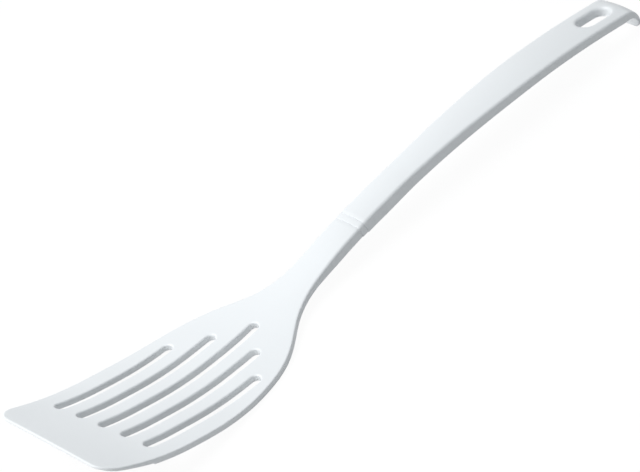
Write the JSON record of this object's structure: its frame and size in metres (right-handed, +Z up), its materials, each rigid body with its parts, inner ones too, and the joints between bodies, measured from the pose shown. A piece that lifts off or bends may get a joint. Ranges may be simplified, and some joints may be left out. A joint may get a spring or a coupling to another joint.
{
  "type": "slotted turner",
  "caption": "Slotted turner in white nylon: concave slotted blade with a slanted front edge, long arched handle, hanging hole and turned-down hook.",
  "frame": {"origin": "on the worktop, under the middle of the tool's overall length and width, with the tool lying on the heel of its blade and on the tip of its hook", "axes": "+X along the tool from the front edge of the blade to the hook, +Z up, +Y to the side where the front edge stands further ahead"},
  "size_m": [0.335, 0.0744, 0.028],
  "materials": {
    "white_nylon": "satin"
  },
  "bodies": {
    "root": {"head": "white_nylon", "collar": "white_nylon", "handle": "white_nylon"}
  },
  "joints": []
}
